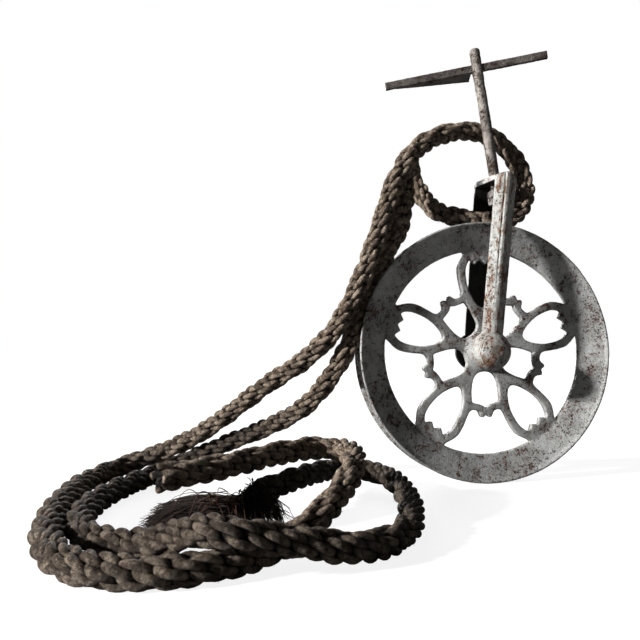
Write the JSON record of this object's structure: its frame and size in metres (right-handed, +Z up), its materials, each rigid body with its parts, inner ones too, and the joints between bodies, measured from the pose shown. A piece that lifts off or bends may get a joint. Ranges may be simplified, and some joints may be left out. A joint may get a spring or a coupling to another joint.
{
  "type": "well rope pulley",
  "caption": "Cast-iron well pulley: a grooved wheel on an axle in a forged yoke, hung from a swivel rod with a T bar, with its old rope.",
  "frame": {"origin": "on the floor under the axle, midway between the yoke's arms", "axes": "+Z up, the way the pulley hangs; +Y through the axle, away from the viewer; +X to the viewer's right, in the wheel's plane"},
  "size_m": [0.6305, 0.4643, 0.524],
  "materials": {
    "cast_iron_wheel": "weathered silver-grey paint worn to pitted, rust-spotted cast iron",
    "forged_yoke": "weathered silver-grey, with orange-brown rust streaks",
    "axle_steel": "rusty pin end",
    "rod_iron": "dark brownish-grey, pitted",
    "bar_iron": "dark brown-grey, rough forged",
    "nut_iron": "dark and rusty",
    "old_rope": "dirty plaited natural fibre, dark brown with tan high spots",
    "rope_fibre": "loose blackened fibre"
  },
  "bodies": {
    "yoke": {"yoke": "forged_yoke", "axle_pin": "axle_steel", "rope_blunt_run": "old_rope", "rope_frayed_run": "old_rope", "rope_frayed_end": "rope_fibre"},
    "sheave": {"sheave": "cast_iron_wheel"},
    "swivel": {"swivel_rod": "rod_iron", "swivel_nut": "nut_iron", "jam_nut": "nut_iron", "cross_bar": "bar_iron"}
  },
  "joints": [
    {"name": "sheave_spin", "type": "hinge", "parent": "yoke", "child": "sheave", "pos_m": [0, -0.003, 0.1525], "axis": [0, 1, 0], "continuous": true},
    {"name": "rod_swivel", "type": "hinge", "parent": "yoke", "child": "swivel", "pos_m": [0.0234, 0, 0.371], "axis": [-0.1236, 0, 0.9923], "continuous": true}
  ]
}
